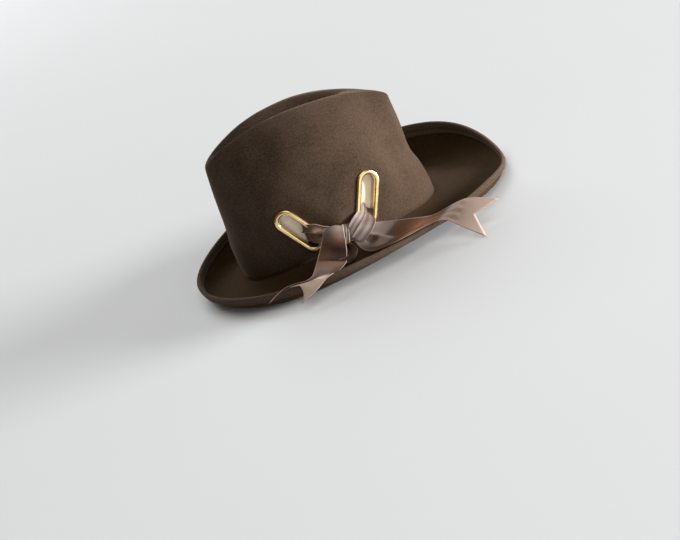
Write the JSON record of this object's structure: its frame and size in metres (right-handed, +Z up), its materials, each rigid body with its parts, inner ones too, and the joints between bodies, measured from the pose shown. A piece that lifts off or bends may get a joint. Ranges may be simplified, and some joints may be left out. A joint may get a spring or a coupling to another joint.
{
  "type": "felt hat with creased crown",
  "caption": "Brown felt hat with a creased, pinched crown, a rolled brim with a bound edge, and a sheer ribbon tied through gilt eyelets on the right side.",
  "frame": {"origin": "middle of the head opening, in the plane of the flat trough ring that the brim stands on", "axes": "+X to the front of the hat, +Y to its left side, +Z up; the trimmed right side faces -Y"},
  "size_m": [0.331, 0.3, 0.1454],
  "materials": {
    "crown_felt": "fine brushed felt nap",
    "brim_felt": "fine brushed felt nap",
    "binding_felt": "pressed felt strip",
    "millinery_wire": "drawn wire",
    "thread": "twisted thread",
    "grosgrain": "ribbed ribbon",
    "lining_satin": "satin weave",
    "lining_thread": "twisted thread",
    "gilt_brass": "polished gilt",
    "sheer_ribbon": "sheer plain weave with satin edges"
  },
  "bodies": {
    "hat": {"crown": "crown_felt", "brim": "brim_felt", "brim_binding": "binding_felt", "brim_wire": "millinery_wire", "binding_stitches": "thread", "headline_stitches": "thread", "sweatband": "grosgrain", "sweatband_stitches": "thread", "lining_side": "lining_satin", "lining_tip": "lining_satin", "lining_stitches": "lining_thread", "eyelet_rear": "gilt_brass", "eyelet_front": "gilt_brass", "eyelet_washer_rear": "gilt_brass", "eyelet_washer_front": "gilt_brass", "ribbon_inner_run": "sheer_ribbon", "ribbon_rear_lead": "sheer_ribbon", "ribbon_front_lead": "sheer_ribbon", "ribbon_knot": "sheer_ribbon"},
    "rear_tail": {"ribbon_rear_tail": "sheer_ribbon"},
    "front_tail": {"ribbon_front_tail": "sheer_ribbon"}
  },
  "joints": [
    {"name": "rear_tail_lift", "type": "hinge", "parent": "hat", "child": "rear_tail", "pos_m": [-0.00419, -0.09244, 0.04645], "axis": [-0.9236, 0, 0.3834], "range_deg": [0, 70]},
    {"name": "front_tail_lift", "type": "hinge", "parent": "hat", "child": "front_tail", "pos_m": [0.01026, -0.09144, 0.0399], "axis": [0, -0.77, -0.638], "range_deg": [0, 60]}
  ]
}
